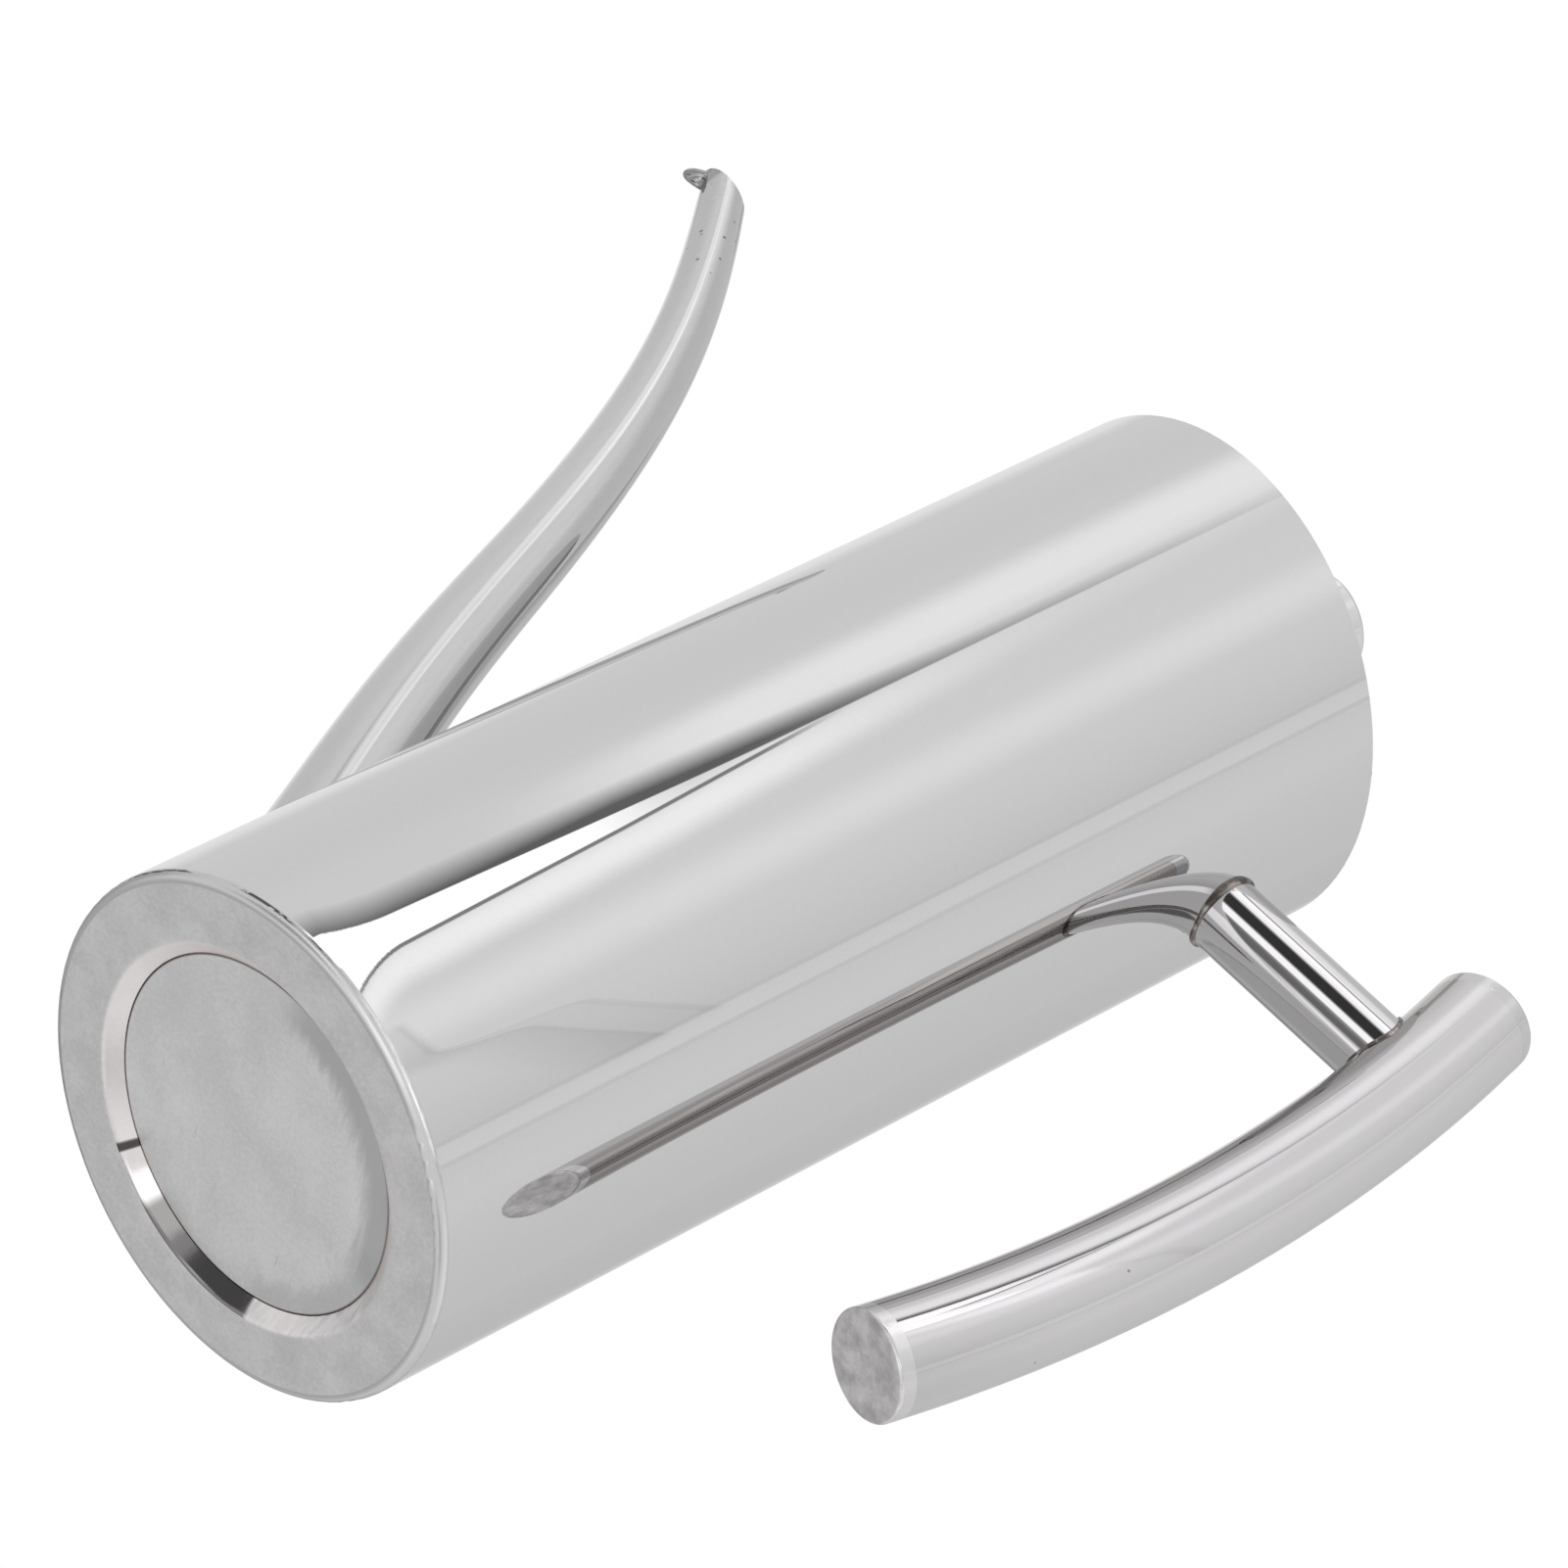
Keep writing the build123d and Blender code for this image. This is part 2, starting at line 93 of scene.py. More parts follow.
class Sheet:
    """The wiring of one finish, or of the studio's light."""

    def __init__(self, tree):
        self.tree = tree
        tree.nodes.clear()

    def add(self, kind, settings=None, sockets=None):
        node = self.tree.nodes.new(kind)
        for name, value in (settings or {}).items():
            if name == "stops":
                ramp = node.color_ramp
                while len(ramp.elements) < len(value):
                    ramp.elements.new(0.5)
                for element, (place, level) in zip(ramp.elements, value):
                    element.position = place
                    element.color = (level, level, level, 1)
            else:
                setattr(node, name, value)
        for name, value in (sockets or {}).items():
            if isinstance(value, Wire):
                self.tree.links.new(value.socket, node.inputs[name])
            else:
                node.inputs[name].default_value = value
        return Wire(self, next((output for output in node.outputs if output.enabled), None))

    def vector(self, operation, *vectors):
        return self.add("ShaderNodeVectorMath", {"operation": operation}, dict(enumerate(vectors)))

    def colour(self, share, first, second):
        """The first colour where share is 0, the second where it is 1."""
        mix = self.add("ShaderNodeMix", {"data_type": "RGBA"}, {0: share, 6: first, 7: second})
        return Wire(self, mix.socket.node.outputs[2])

    def axes(self, vector):
        return [self.add("ShaderNodeSeparateXYZ", {}, {0: vector}).other(axis) for axis in "XYZ"]

    def compass(self, x, y):
        """Angle round the can in degrees, from +X towards +Y."""
        return y.maths("ARCTAN2", y, x) * (180 / math.pi)

    def millimetres(self):
        """The place on the piece in millimetres, in the frame of the whole can."""
        place = self.add("ShaderNodeTexCoord").other("Object")
        return self.vector("MULTIPLY", place, (1000, 1000, 1000))

    def grain(self, place, stretch, detail=2.0, rough=0.5):
        """Soft noise from 0 to 1, with its scale along each axis in cycles per millimetre."""
        sized = self.vector("MULTIPLY", place, stretch)
        sockets = {"Vector": sized, "Scale": 1.0, "Detail": detail, "Roughness": rough}
        return self.add("ShaderNodeTexNoise", {}, sockets)

    def specks(self, place, stretch, size):
        """Small separate marks, 1 inside a mark. Size is a share of their spacing."""
        sized = self.vector("MULTIPLY", place, stretch)
        spots = self.add("ShaderNodeTexVoronoi", {"feature": "F1"}, {"Vector": sized, "Scale": 1.0})
        core = 0.6
        return 1 - spots.between(core * size, size)

    def relief(self, height, depth, below=None):
        """Normal of a surface whose height, in millimetres, is height times depth."""
        sockets = {"Height": height, "Strength": 1.0, "Distance": depth / 1000}
        if below is not None:
            sockets["Normal"] = below
        return self.add("ShaderNodeBump", {}, sockets)

    def metal(self, colour, rough, normal):
        """Metal over the whole surface."""
        sockets = {"Metallic": 1.0, "Base Color": colour, "Roughness": rough, "Normal": normal}
        shader = self.add("ShaderNodeBsdfPrincipled", {}, sockets)
        self.add("ShaderNodeOutputMaterial", {}, {"Surface": shader})


def finish(slot, build):
    """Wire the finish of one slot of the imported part."""
    material = bpy.data.materials[slot]
    material.use_nodes = True
    build(Sheet(material.node_tree))


satin_height = 1.45
nick_height = 1.0
crease_height = 1.2
# Height of the painted highlight along the spun edge
rim_highlight_height = 1.35


def body_finish(sheet):
    place = sheet.millimetres()
    x, y, z = sheet.axes(place)
    angle = sheet.compass(x, y)
    ripple = sheet.grain(place, (0.035, 0.035, 0.02))
    hairs = sheet.grain(place, (0.15, 0.15, 2.2), 3.0, 0.6)
    peel = sheet.grain(place, (0.6, 0.6, 0.6), 3.0)
    haze = sheet.grain(place, (0.9, 0.9, 2.4), 4.0, 0.7)
    pits = sheet.specks(place, (0.07, 0.07, 0.06), 0.02)
    border = sheet.grain(place, (0.5, 0.5, 0.5), 4.0, 0.7)
    torn = sheet.grain(place, (0.4, 0.4, 1.2), 3.0, 0.7)
    linished = 1 - (z + 0.9 * border).between(satin_height, satin_height + 0.15)
    nicked = angle.facing(-136, 9, 3) + angle.facing(-103, 6, 3)
    nicked = nicked * z.near(nick_height, 0.12, 0.15)
    creased = angle.facing(48, 9, 4) * z.near(crease_height, 0.04, 0.12)
    nicks = (nicked + 0.7 * creased) * torn.between(0.42, 0.5)
    # Painted highlight: a bright ragged line along the spun edge, on the side towards the camera.
    painted_rim_highlight = angle.facing(-57, 15, 5) * (z + 0.5 * torn).near(rim_highlight_height, 0.1, 0.12)
    steel = sheet.colour(haze, (0.6, 0.598, 0.601, 1), (0.64, 0.638, 0.641, 1))
    steel = sheet.colour(linished, steel, (0.7, 0.69, 0.7, 1))
    steel = sheet.colour(painted_rim_highlight, steel, (0.93, 0.93, 0.93, 1))
    colour = sheet.colour(0.9 * nicks, steel, (0.05, 0.045, 0.05, 1))
    rough = 0.004 + 0.006 * border + 0.25 * pits + 0.3 * linished
    rolled = sheet.relief(peel, 0.0001, sheet.relief(ripple, 0.003))
    sheet.metal(colour, rough, sheet.relief(hairs, 0.00005, rolled))


finish("body_steel", body_finish)


# Base ring: a pressed ring of the same sheet, welded in and linished flat, so it is satin where
# it stands. The step inside it was buffed by hand, brightest along one side, and is rubbed
# where a wheel slipped off it. Along the buffed side a broad dark stretch and a narrow dark line
# are painted into its colour, as painted dark reflections.
def base_finish(sheet):
    place = sheet.millimetres()
    x, y, z = sheet.axes(place)
    angle = sheet.compass(x, y)
    fine = sheet.grain(place, (1.4, 1.4, 1.4), 3.0, 0.6)
    cloud = sheet.grain(place, (0.14, 0.14, 0.14), 4.0, 0.6)
    slips = sheet.grain(place, (1.1, 0.12, 0.4), 3.0, 0.6)
    slope = z.between(0.02, 0.2)
    buffed_and_painted_reflection = z.between(0.05, 0.08) * angle.facing(104, 31, 2)
    rim_shade_and_rub = slope * angle.facing(46, 25, 6) * slips.between(0.42, 0.6)
    mottle = 0.6 * cloud + 0.4 * fine
    mottle = mottle.between(0.3, 0.7)
    satin = sheet.colour(mottle, (0.77, 0.755, 0.765, 1), (0.97, 0.955, 0.965, 1))
    steel = sheet.colour(slope * 0.7, satin, (0.86, 0.82, 0.81, 1))
    steel = sheet.colour(rim_shade_and_rub, steel, (0.95, 0.93, 0.94, 1))
    # Painted dark reflections on the buffed step: a broad dark stretch, then a narrow dark line.
    steel = sheet.colour(buffed_and_painted_reflection * angle.facing(92, 23, 5), steel, (0.26, 0.25, 0.25, 1))
    colour = sheet.colour(buffed_and_painted_reflection * angle.facing(134.5, 1, 0.8), steel, (0.1, 0.09, 0.09, 1))
    rough = 0.34 + 0.06 * fine - 0.27 * buffed_and_painted_reflection + 0.1 * rim_shade_and_rub
    normal = sheet.relief(fine, 0.0045, sheet.relief(cloud, 0.012))
    sheet.metal(colour, rough, normal)


finish("base_steel", base_finish)


# Base disc: a blanked disc let into the ring, satin from the tumbler. Near its rim on two sides
# it is painted darker, a painted shade, and is a little smoother there. It has a few short
# scratches, and a fine dark joint line runs round it.
disc_radius = 25.4
joint_width = 0.25


def disc_finish(sheet):
    place = sheet.millimetres()
    x, y, z = sheet.axes(place)
    angle = sheet.compass(x, y)
    radius = (x * x + y * y) ** 0.5
    cloud = sheet.grain(place, (0.07, 0.07, 0.07), 5.0, 0.6)
    fine = sheet.grain(place, (1.6, 1.6, 1.6), 3.0, 0.6)
    strokes = sheet.grain(place, (0.9, 0.12, 0.5), 4.0, 0.65)
    frayed = radius + 5 * strokes
    # Painted shade near the rim on two sides, with a frayed inner border.
    shaded_side = frayed.between(21.5, 25.5) * angle.facing(-40, 42, 20)
    shaded_foot = frayed.between(23, 26) * angle.facing(40, 25, 15)
    rim_shade_and_rub = shaded_side + 0.6 * shaded_foot
    fields = radius.near(14, 5, 3) * angle.facing(60, 75, 20)
    lines = sheet.grain(place, (2.6, 0.09, 1.0), 2.0).between(0.7, 0.76) * fields
    mottle = 0.6 * cloud + 0.4 * fine
    satin = sheet.colour(mottle.between(0.3, 0.7), (0.82, 0.82, 0.82, 1), (0.99, 0.99, 0.99, 1))
    shaded_and_scratched = sheet.colour(rim_shade_and_rub * 0.75, satin, (0.56, 0.56, 0.565, 1))
    shaded_and_scratched = sheet.colour(lines * 0.5, shaded_and_scratched, (0.35, 0.35, 0.35, 1))
    joint = radius.between(disc_radius - joint_width, disc_radius)
    colour = sheet.colour(joint, shaded_and_scratched, (0.3, 0.25, 0.23, 1))
    rough = 0.36 + 0.06 * cloud + 0.05 * fine - 0.05 * rim_shade_and_rub
    normal = sheet.relief(fine, 0.004, sheet.relief(cloud, 0.02))
    sheet.metal(colour, rough, normal)


finish("disc_steel", disc_finish)


# Spout: a drawn and tapered tube, bent, cut level at the mouth and rolled into a drip edge.
# It is polished by hand along its length, so its skin is truly round, with pits near the mouth.
# The underside of the drip edge is painted dark in patches, a painted shade under the edge.
spout_heights = [19.6, 49.7, 86.1, 106.9, 137.4, 165.2, 192.4, 198.6]
spout_middles = [-26.0, -39.6, -55.7, -63.4, -75.5, -90.0, -109.8, -114.8]
spout_curve = numpy.polyfit(spout_heights, spout_middles, 5)
spout_lean = numpy.polyder(spout_curve)
spout_root_radius = 8.4
spout_taper = 0.0247
spout_mouth = 191
pitted_height = 168
lip_height = 190
lip_front = -112


def polynomial(factors, z):
    """Value at z of a polynomial given by its factors, the highest power first."""
    total = float(factors[0])
    for factor in factors[1:]:
        total = total * z + float(factor)
    return total


def round_normal(sheet, x, y, z):
    """Normal of a true round taper on the spout's skin, and of the mesh elsewhere."""
    # The nearest point of the centre line lies at this level
    lean = polynomial(spout_lean, z)
    level = z + (x - polynomial(spout_curve, z)) * lean / (1 + lean * lean)
    lean = polynomial(spout_lean, level)
    off_centre = {0: x - polynomial(spout_curve, level), 1: y, 2: z - level}
    outward = sheet.add("ShaderNodeCombineXYZ", {}, off_centre)
    radius = sheet.vector("LENGTH", outward).other("Value")
    along = sheet.add("ShaderNodeCombineXYZ", {}, {0: lean, 1: 0.0, 2: 1.0})
    tilt = sheet.vector("MULTIPLY", along, (spout_taper, spout_taper, spout_taper))
    true = sheet.vector("ADD", sheet.vector("NORMALIZE", outward), tilt)

    skin = radius.near(spout_root_radius - spout_taper * level, 0.3, 0.15)
    skin = skin * (1 - z.between(spout_mouth, spout_mouth + 0.5))
    mesh = sheet.add("ShaderNodeNewGeometry").other("Normal")
    return sheet.vector("NORMALIZE", sheet.colour(skin, mesh, true))


def spout_finish(sheet):
    place = sheet.millimetres()
    x, y, z = sheet.axes(place)
    ripple = sheet.grain(place, (0.05, 0.05, 0.03))
    hairs = sheet.grain(place, (1.3, 1.3, 0.1), 3.0, 0.6)
    pitted = z.between(pitted_height, pitted_height + 8) * (1 - y.between(-2.5, 0))
    pits = sheet.specks(place, (0.5, 0.5, 0.4), 0.16) * pitted
    pits = pits + sheet.specks(place, (0.13, 0.13, 0.1), 0.03)
    lip = z.between(lip_height - 1.5, lip_height) * (1 - x.between(lip_front, lip_front + 1))
    # Painted shade in patches under the drip edge.
    painted_lip_shade = lip * sheet.grain(place, (0.5, 0.5, 0.5), 3.0)
    steel = sheet.colour(hairs, (0.57, 0.567, 0.57, 1), (0.62, 0.617, 0.62, 1))
    colour = sheet.colour(pits * 0.75 + painted_lip_shade, steel, (0.12, 0.11, 0.11, 1))
    rough = 0.03 + 0.03 * hairs + 0.25 * pits
    under = sheet.relief(ripple, 0.006, round_normal(sheet, x, y, z))
    sheet.metal(colour, rough, sheet.relief(hairs, 0.0003, under))


finish("spout_steel", spout_finish)


# Weld beads: laid by hand round the spout's foot, the post's foot and the post's seam on the
# bar, then only brushed, so they stay dark, brown tinted and rippled.
def weld_finish(sheet):
    place = sheet.millimetres()
    beads = sheet.grain(place, (0.9, 0.9, 0.9), 3.0, 0.6)
    soot = sheet.grain(place, (0.35, 0.35, 0.35), 3.0, 0.6).between(0.36, 0.6)
    colour = sheet.colour(soot, (0.36, 0.32, 0.3, 1), (0.1, 0.085, 0.08, 1))
    sheet.metal(colour, 0.2 + 0.15 * soot, sheet.relief(beads, 0.06))


finish("weld_steel", weld_finish)


# Handle: a bowed tube on one straight post, both mirror polished lengthwise on a belt. The side
# towards the body is painted darker and browner, a painted shade and dark reflection of the body.
def handle_finish(sheet):
    place = sheet.millimetres()
    ripple = sheet.grain(place, (0.08, 0.08, 0.02))
    hairs = sheet.grain(place, (1.2, 1.2, 0.05), 3.0, 0.6)
    pits = sheet.specks(place, (0.11, 0.11, 0.09), 0.03)
    outwards = sheet.axes(sheet.add("ShaderNodeNewGeometry").other("Normal"))[0]
    # Painted shade: the side facing the body is darker and browner.
    shaded_inner_side = 1 - outwards.between(-0.75, -0.3)
    steel = sheet.colour(shaded_inner_side, (0.62, 0.608, 0.618, 1), (0.44, 0.415, 0.405, 1))
    colour = sheet.colour(pits * 0.7, steel, (0.2, 0.19, 0.2, 1))
    rough = 0.03 + 0.03 * hairs + 0.2 * pits
    sheet.metal(colour, rough, sheet.relief(hairs, 0.0007, sheet.relief(ripple, 0.01)))


finish("handle_steel", handle_finish)


# Handle caps: round slugs pressed into the tube's ends and ground flush. The lower one's side
# stays brushed and the upper one's is polished with the tube. The faces were dished by the
# punch and stay dull and mottled.
def cap_finish(sheet):
    place = sheet.millimetres()
    height = sheet.axes(place)[2]
    upwards = sheet.axes(sheet.add("ShaderNodeNewGeometry").other("Normal"))[2]
    face = upwards.unsigned().between(0.55, 0.75)
    cloud = sheet.grain(place, (0.3, 0.3, 0.3), 5.0, 0.65)
    fine = sheet.grain(place, (2.2, 2.2, 2.2), 3.0, 0.6)
    polished = (1 - face) * height.between(90, 120)
    brushed = sheet.colour(fine, (0.68, 0.665, 0.675, 1), (0.76, 0.75, 0.76, 1))
    shaded_side = sheet.colour(polished, brushed, (0.6, 0.59, 0.6, 1))
    mottled = sheet.colour(cloud.between(0.3, 0.7), (0.58, 0.56, 0.57, 1), (0.92, 0.9, 0.91, 1))
    colour = sheet.colour(face, shaded_side, mottled)
    rough = 0.16 + 0.2 * face + 0.08 * fine - 0.14 * polished
    sheet.metal(colour, rough, sheet.relief(fine, 0.008, sheet.relief(cloud, 0.04)))


finish("cap_steel", cap_finish)


# Top deck and filler collar: a sloping plate with a short rolled collar, welded in from above
# and brushed across, so it is softer than the body.
def deck_finish(sheet):
    place = sheet.millimetres()
    brush = sheet.grain(place, (0.08, 2.4, 0.4), 4.0, 0.6)
    cloud = sheet.grain(place, (0.08, 0.08, 0.08), 3.0)
    colour = sheet.colour(brush, (0.6, 0.6, 0.605, 1), (0.69, 0.69, 0.695, 1))
    sheet.metal(colour, 0.24 + 0.08 * cloud, sheet.relief(brush, 0.004))


finish("deck_steel", deck_finish)


# Hinge: a folded bracket, a rolled leaf and two rivets of thin strip, tumbled to a soft shine,
# round a plain pin headed at both ends.
def hinge_finish(sheet):
    place = sheet.millimetres()
    tumble = sheet.grain(place, (0.9, 0.9, 0.9), 4.0, 0.6)
    colour = sheet.colour(tumble, (0.56, 0.56, 0.565, 1), (0.68, 0.68, 0.685, 1))
    sheet.metal(colour, 0.2 + 0.1 * tumble, sheet.relief(tumble, 0.01))


def pin_finish(sheet):
    place = sheet.millimetres()
    wear = sheet.grain(place, (1.2, 0.4, 1.2), 3.0)
    colour = sheet.colour(wear, (0.5, 0.5, 0.5, 1), (0.62, 0.62, 0.625, 1))
    sheet.metal(colour, 0.24 + 0.08 * wear, sheet.relief(wear, 0.004))


finish("hinge_steel", hinge_finish)
finish("pin_steel", pin_finish)


# Lid: pressed from sheet with a raised dome, a turned-down skirt and a vent hole, polished
# round and round like the body.
def lid_finish(sheet):
    place = sheet.millimetres()
    ripple = sheet.grain(place, (0.05, 0.05, 0.05))
    rings = sheet.grain(place, (0.1, 0.1, 1.6), 3.0)
    colour = sheet.colour(ripple, (0.63, 0.63, 0.635, 1), (0.67, 0.67, 0.675, 1))
    normal = sheet.relief(rings, 0.0012, sheet.relief(ripple, 0.012))
    sheet.metal(colour, 0.05 + 0.03 * rings, normal)


finish("lid_steel", lid_finish)


# Lid seal: a flat ring of translucent white silicone that sits loose inside the skirt.
def seal_finish(sheet):
    place = sheet.millimetres()
    haze = sheet.grain(place, (0.25, 0.25, 0.25), 3.0)
    colour = sheet.colour(haze, (0.74, 0.74, 0.72, 1), (0.82, 0.82, 0.8, 1))
    rough = 0.42 + 0.1 * haze
    sockets = {"Base Color": colour, "Roughness": rough, "Normal": sheet.relief(haze, 0.01)}
    shader = sheet.add("ShaderNodeBsdfPrincipled", {}, sockets)
    sheet.add("ShaderNodeOutputMaterial", {}, {"Surface": shader})


finish("seal_silicone", seal_finish)


# Knob: turned from bar, with a drawn-in waist and a rounded edge, and polished in the lathe.
# A pan head screw and a washer of the same steel hold it from inside the lid.
def knob_finish(sheet):
    place = sheet.millimetres()
    turning = sheet.grain(place, (0.15, 0.15, 2.0), 3.0, 0.6)
    colour = sheet.colour(turning, (0.64, 0.64, 0.645, 1), (0.7, 0.7, 0.705, 1))
    sheet.metal(colour, 0.06 + 0.04 * turning, sheet.relief(turning, 0.0015))


finish("knob_steel", knob_finish)


# Studio: a light tent of white cloth round the can. Its upright panels, the folds between them
# and the slit where two of them part show in the polish. Other rays see one even level.
def patch(turn, rise, across, up):
    """1 in a soft patch of the tent, by its middle, half width and margin each way."""
    return turn.facing(*across) * rise.near(*up)


def panels(sheet, turn, rise):
    """Brightness of the upright cloth by compass angle, dimmer behind the handle."""
    brightest = 1.25
    levels = [
        (-180, 0.87), (-162, 0.89), (-146, 0.93), (-120, 0.95), (-95, 0.97), (-78, 0.98),
        (-55, 0.95), (-40, 0.91), (-24, 0.84), (-6, 0.91), (5, 0.92), (20, 0.87), (40, 0.83),
        (60, 0.79), (75, 0.72), (98, 0.62), (116, 0.72), (130, 0.86), (146, 0.92), (158, 0.82),
        (168, 0.85), (180, 0.87),
    ]
    stops = [((angle + 180) / 360, level / brightest) for angle, level in levels]
    walls = brightest * sheet.add("ShaderNodeValToRGB", {"stops": stops}, {0: turn / 360 + 0.5})
    walls = walls + 0.28 * turn.facing(-131, 3, 16) * rise.between(36.5, 38.8)
    walls = walls + 0.13 * turn.facing(-70, 1, 14)
    walls = walls + 0.3 * patch(turn, rise, (-119, 3, 5), (45, 1, 1.5))

    # A narrow strip between two folds
    walls = walls + 0.07 * turn.facing(-18, 3, 0.8)
    return walls - 0.05 * turn.facing(-22.6, 0.4, 0.8) - 0.05 * turn.facing(-13.2, 0.4, 0.8)


def parted(sheet, walls, turn, rise):
    """The slit leans and narrows upwards, with dark cloth at its left and a glow at its right."""
    slit_foot = 35.7
    over_foot = (rise - slit_foot).at_least(0)
    flare = (1 - over_foot / 0.45).at_least(0) ** 2
    left = 5.5 * rise.between(35.2, 39) - 118 - 5 * flare
    right = 13 * flare - 102.3 - 2.4 * over_foot
    right = right - 1.2 * (over_foot - 2).at_least(0) - 13 * (1 - rise.between(28, 34))
    slit = (turn - left).between(-0.3, 0.3) * (right - turn).between(-0.3, 0.3)
    slit = slit * rise.between(15, 17) * (1 - 0.8 * rise.between(37.4, 38.3))

    shades = [
        (0.0, 0.62), (0.09, 0.62), (0.21, 0.74), (0.34, 0.96), (0.46, 0.87), (0.59, 0.6),
        (0.71, 0.38), (0.84, 0.2), (1.0, 0.08),
    ]
    deepest = 1.2
    depth = deepest * sheet.add("ShaderNodeValToRGB", {"stops": shades}, {0: (rise - 35) / 8})
    fade = 14 - 8 * rise.between(38, 40.5)
    dark_cloth = (1 - (left - turn) / fade).at_least(0) * (left - turn).between(-0.5, 0.5)
    dark_cloth = dark_cloth * rise.between(28, 34) * (1 - rise.between(41.5, 43.5))
    walls = walls * (1 - depth * dark_cloth).at_least(0.18)

    glow = 0.38 - 0.3 * rise.between(38, 41)
    walls = walls + glow * (turn - right).near(8, 1, 12) * rise.between(28, 34)
    hem = rise.between(35.6, 35.8) * (1 - rise.between(38.6, 39.4))
    walls = walls * (1 - 0.72 * hem * (turn - right).near(0.9, 0.5, 0.8))
    slit_brightness = 1.62
    return walls * (1 - slit) + slit_brightness * slit


def seamed(walls, turn, rise):
    """A sagging seam, one line at its left end and a wider band past its kink."""
    kink = turn.between(-59, -47)
    kink = kink * kink * (3 - 2 * kink)
    sag = 36 + 0.5 * kink + 0.018 * (turn + 53).at_least(0) + 0.008 * (turn + 60)
    over = sag + 0.35 * kink - rise
    under = sag - rise
    upper = over.near(0, 0.015, 0.04)
    band = over.between(0, 0.04) * (1 - under.between(0, 0.06))
    lower = under.between(-0.02, 0.03) * (1 - under / 0.6).at_least(0)
    return walls - (0.08 * upper + 0.05 * band + 0.15 * lower) * turn.near(-47, 24, 4)


def tent(sheet):
    x, y, z = sheet.axes(sheet.add("ShaderNodeTexCoord").other("Generated"))
    turn = sheet.compass(x, y)
    rise = z.maths("ARCSINE", z) * (180 / math.pi)

    walls = parted(sheet, panels(sheet, turn, rise), turn, rise)
    walls = seamed(walls, turn, rise) * (1 - 0.12 * (1 - rise.between(18, 33)))

    skirting = 0.72 - 0.67 * turn.facing(-112, 5.5, 3) - 0.17 * turn.facing(112, 8, 10)
    skirting = skirting + 0.25 * turn.facing(20, 16, 20) - 0.3 * turn.facing(150, 20, 20)
    skirting = skirting + 0.85 * patch(turn, rise, (-45, 8, 5), (-8, 7, 4))

    ground = 0.8 - 0.32 * turn.facing(122, 22, 25)
    ground = ground + 0.7 * patch(turn, rise, (-113, 8, 4), (-27, 6, 3))
    ground = ground - 0.6 * patch(turn, rise, (-140, 20, 10), (-46, 8, 5))
    ground = ground + 0.5 * turn.facing(-62, 25, 25) * (1 - rise.between(-74, -68))
    ground = ground + 0.5 * patch(turn, rise, (-148, 10, 8), (-66, 4, 3))
    ground = ground + 0.75 * patch(turn, rise, (-72, 23, 8), (-57, 8, 4))
    ground = ground - 0.6 * patch(turn, rise, (30, 10, 8), (-50, 6, 4))

    roof = 0.73 - 0.45 * patch(turn, rise, (64, 12, 6), (60, 4, 2))
    roof = roof - 0.4 * patch(turn, rise, (128, 20, 8), (68, 2, 2))

    above_ground = rise.between(-20, -14)
    above_skirting = rise.between(9, 17)
    above_walls = rise.between(52, 72)
    level = ground * (1 - above_ground) + skirting * (above_ground - above_skirting)
    level = level + walls * (above_skirting - above_walls) + roof * above_walls
    level = level * (1 - 0.4 * patch(turn, rise, (122, 28, 8), (13, 8, 4)))

    path = sheet.add("ShaderNodeLightPath")
    seen = path.other("Is Camera Ray")
    mirrored = path.other("Is Glossy Ray") + path.other("Is Transmission Ray")
    even = 0.85
    strength = seen + (1 - seen) * (mirrored * level + (1 - mirrored) * even)
    cloth = sheet.add("ShaderNodeBackground", {}, {"Color": (1, 1, 1, 1), "Strength": strength})
    sheet.add("ShaderNodeOutputWorld", {}, {"Surface": cloth})


world = bpy.data.worlds.new("light tent")
world.use_nodes = True
bpy.context.scene.world = world
tent(Sheet(world.node_tree))

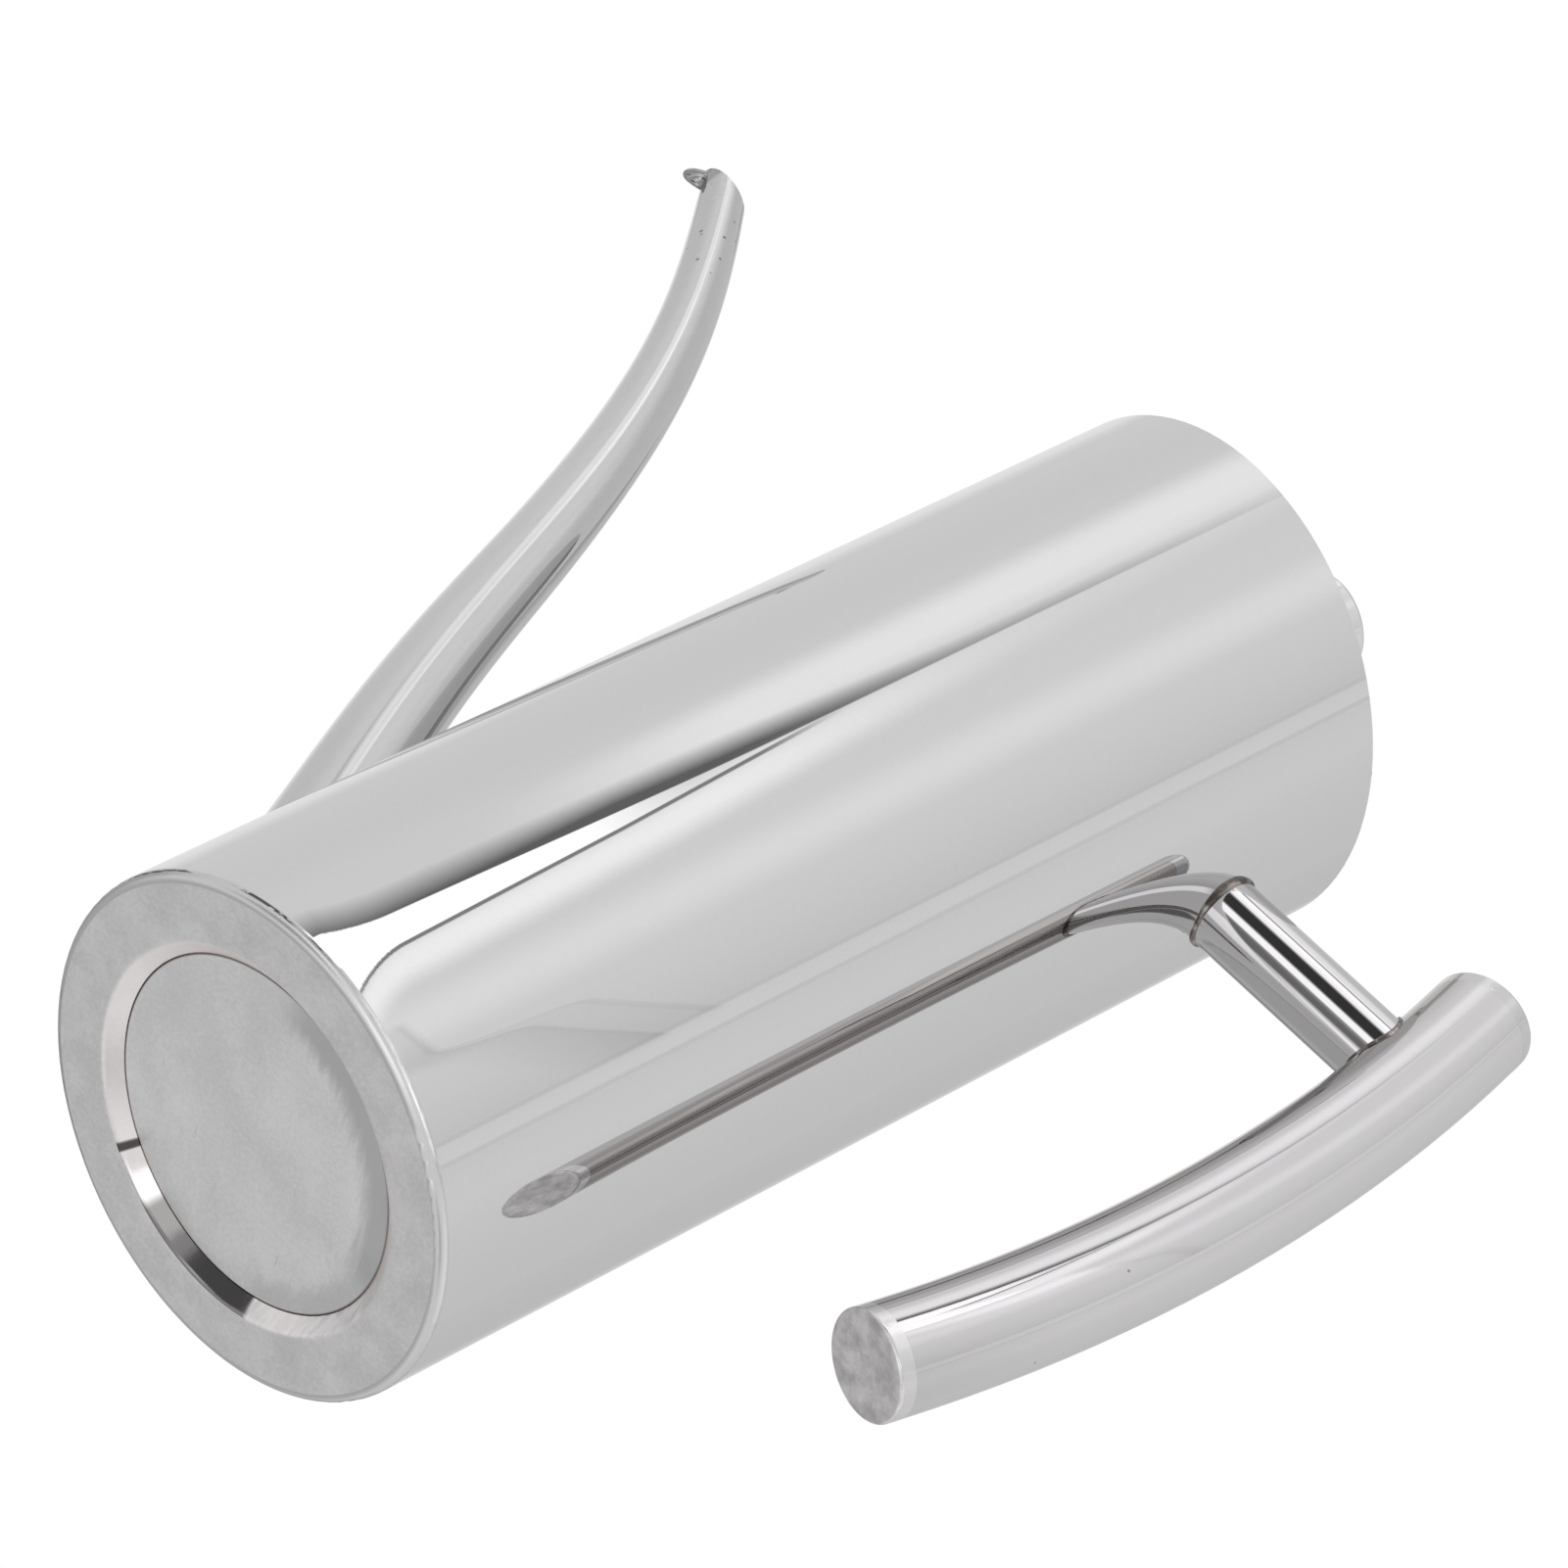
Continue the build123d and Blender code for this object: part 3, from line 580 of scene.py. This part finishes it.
# Overhead soft box, which the polish doesn't show
lamp_data = bpy.data.lights.new("overhead soft box", "AREA")
lamp_data.shape = "DISK"
lamp_data.size = 0.9
lamp_data.energy = 6
lamp = bpy.data.objects.new("overhead soft box", lamp_data)
lamp.location = (-0.35, -0.5, 1.3)
lamp.rotation_euler = lamp.location.to_track_quat("Z", "Y").to_euler()
lamp.visible_glossy = False
lamp.visible_camera = False
bpy.context.scene.collection.objects.link(lamp)

# Floor of white paper, just under the can so that the two don't flicker
floor_drop = 0.0004
floor_reach = 4.0
sides = [(-1, -1), (1, -1), (1, 1), (-1, 1)]
corners = [(x * floor_reach, y * floor_reach, -floor_drop) for x, y in sides]
floor_mesh = bpy.data.meshes.new("floor")
floor_mesh.from_pydata(corners, [], [(0, 1, 2, 3)])
floor = bpy.data.objects.new("floor", floor_mesh)
bpy.context.scene.collection.objects.link(floor)
paper = bpy.data.materials.new("floor paper")
paper.use_nodes = True
floor_mesh.materials.append(paper)


def paper_finish(sheet):
    """White paper, which lets the camera through from below."""
    under = sheet.add("ShaderNodeNewGeometry").other("Backfacing")
    white = sheet.add("ShaderNodeBsdfDiffuse", {}, {"Color": (0.97, 0.97, 0.97, 1)})
    clear = sheet.add("ShaderNodeBsdfTransparent")
    both = sheet.add("ShaderNodeMixShader", {}, {0: under, 1: white, 2: clear})
    sheet.add("ShaderNodeOutputMaterial", {}, {"Surface": both})


paper_finish(Sheet(paper.node_tree))
for ray in ("visible_diffuse", "visible_glossy", "visible_transmission", "visible_shadow"):
    setattr(floor, ray, False)


# Camera: a long lens below and in front of the can, turned so that the can leans to the right.
camera_right = (0.66673, -0.25242, 0.70125)
camera_down = (0.62509, 0.70178, -0.34171)
camera_forward = (-0.40587, 0.66618, 0.62568)
camera_place = (0.50371, -0.84791, -0.6833)
camera_data = bpy.data.cameras.new("camera")
camera_data.sensor_fit = "HORIZONTAL"
camera_data.sensor_width = 36
camera_data.lens = 209.99
camera_data.clip_start = 0.05
camera_data.clip_end = 20
camera = bpy.data.objects.new("camera", camera_data)
rows = [[camera_right[i], -camera_down[i], -camera_forward[i], camera_place[i]] for i in range(3)]
camera.matrix_world = Matrix(rows + [[0, 0, 0, 1]])
bpy.context.scene.collection.objects.link(camera)
bpy.context.scene.camera = camera
bpy.context.scene.view_settings.view_transform = "Standard"
